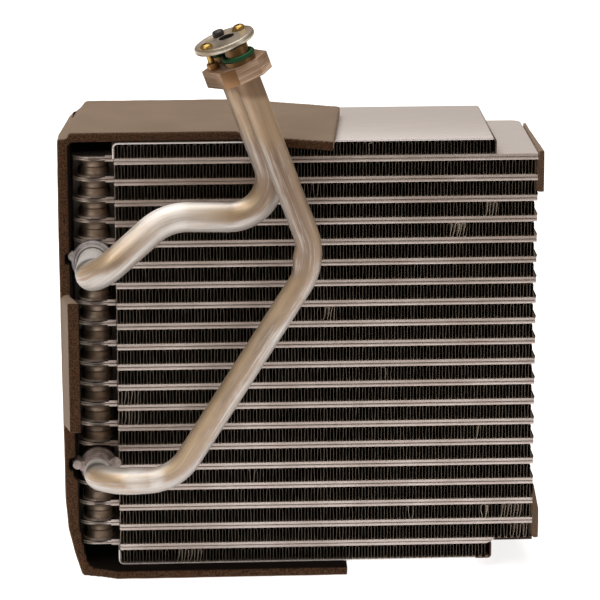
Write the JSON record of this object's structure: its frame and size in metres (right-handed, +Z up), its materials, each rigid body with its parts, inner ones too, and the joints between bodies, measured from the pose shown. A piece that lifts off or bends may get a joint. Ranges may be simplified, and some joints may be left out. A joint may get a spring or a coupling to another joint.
{
  "type": "evaporator core",
  "caption": "Laminated evaporator core of a vehicle air conditioner with folded fins, two bent line pipes to a joint block with a screwed port cover, and a foam wrap.",
  "frame": {"origin": "on the flat underside of the foam under the core, at the middle of the fins' width and of the core's depth", "axes": "+X to the right along the tubes as seen from the pipe side, +Y from the pipe side to the back, +Z up the stack of tubes"},
  "size_m": [0.253, 0.1353, 0.3007],
  "materials": {
    "tube": "satin, warm grey, brazed and slightly dull",
    "fin": "thin folded strip, dark coated, dull",
    "end_plate": "satin rolled sheet",
    "foam": "closed-cell foam with a smooth taupe skin and dark open cut faces",
    "pipe": "satin drawn tube with warm streaks",
    "collar": "rough brazed fitting",
    "block": "milled, faint tool lines",
    "seal": "green rubber, smooth",
    "cover": "bright zinc plate",
    "screw": "yellow passivated, smooth",
    "spacer": "dull bronze",
    "plug": "dark grey rubber"
  },
  "bodies": {
    "root": {"bottom_end_plate": "end_plate", "cover_disc": "cover", "cover_screws": "screw", "fin_01": "fin", "fin_02": "fin", "fin_03": "fin", "fin_04": "fin", "fin_05": "fin", "fin_06": "fin", "fin_07": "fin", "fin_08": "fin", "fin_09": "fin", "fin_10": "fin", "fin_11": "fin", "fin_12": "fin", "fin_13": "fin", "fin_14": "fin", "fin_15": "fin", "fin_16": "fin", "fin_17": "fin", "fin_18": "fin", "fin_19": "fin", "fin_20": "fin", "fin_21": "fin", "foam_wrap": "foam", "joint_block": "block", "liquid_collar": "collar", "liquid_pipe": "pipe", "lower_right_pad": "foam", "port_plug": "plug", "port_rings": "seal", "screw_spacer": "spacer", "suction_collar": "collar", "suction_pipe": "pipe", "top_end_plate": "end_plate", "tube_01": "tube", "tube_02": "tube", "tube_03": "tube", "tube_04": "tube", "tube_05": "tube", "tube_06": "tube", "tube_07": "tube", "tube_08": "tube", "tube_09": "tube", "tube_10": "tube", "tube_11": "tube", "tube_12": "tube", "tube_13": "tube", "tube_14": "tube", "tube_15": "tube", "tube_16": "tube", "tube_17": "tube", "tube_18": "tube", "tube_19": "tube", "tube_20": "tube", "upper_right_pad": "foam"}
  },
  "joints": []
}
